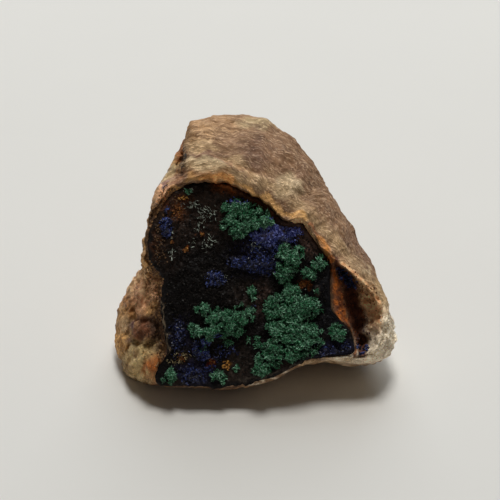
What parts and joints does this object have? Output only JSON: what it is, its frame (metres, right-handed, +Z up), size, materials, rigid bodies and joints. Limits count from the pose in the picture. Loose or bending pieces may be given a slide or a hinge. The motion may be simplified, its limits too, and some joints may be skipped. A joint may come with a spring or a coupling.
{
  "type": "azurite specimen",
  "caption": "Broken lump of tan host rock whose tilted front face carries a dark druse with green malachite rosettes and blue azurite crystals.",
  "frame": {"origin": "centre of the bounding box at the flat facet that the lump rests on", "axes": "+X to the right along the lump's width when the mineral face is seen, -Y towards the viewer that the mineral face looks at, +Z up"},
  "size_m": [0.0528, 0.0424, 0.0396],
  "materials": {
    "host_rock": "rough broken rock, tan with mauve-brown mottling and rusty stains",
    "dark_crust": "near-black sugary druse with tiny glinting crystal faces",
    "malachite": "felted sea-green rosettes of fine needles",
    "azurite": "deep blue sugary crystals with small bright faces"
  },
  "bodies": {
    "root": {"host_rock": "host_rock", "dark_crust": "dark_crust", "malachite_upper": "malachite", "malachite_main": "malachite", "malachite_left": "malachite", "malachite_left_bud": "malachite", "malachite_lower_bud": "malachite", "malachite_right_edge": "malachite", "malachite_rusty_bud": "malachite", "malachite_right_corner": "malachite", "malachite_lower_left": "malachite", "malachite_lower_edge": "malachite", "malachite_sprig": "malachite", "azurite_left_edge": "azurite", "azurite_upper_band": "azurite", "azurite_centre": "azurite", "azurite_speckled": "azurite", "azurite_lower_left": "azurite", "azurite_under_left": "azurite", "azurite_lower_edge": "azurite", "azurite_lower_right": "azurite", "azurite_hollow_head": "azurite"}
  },
  "joints": []
}
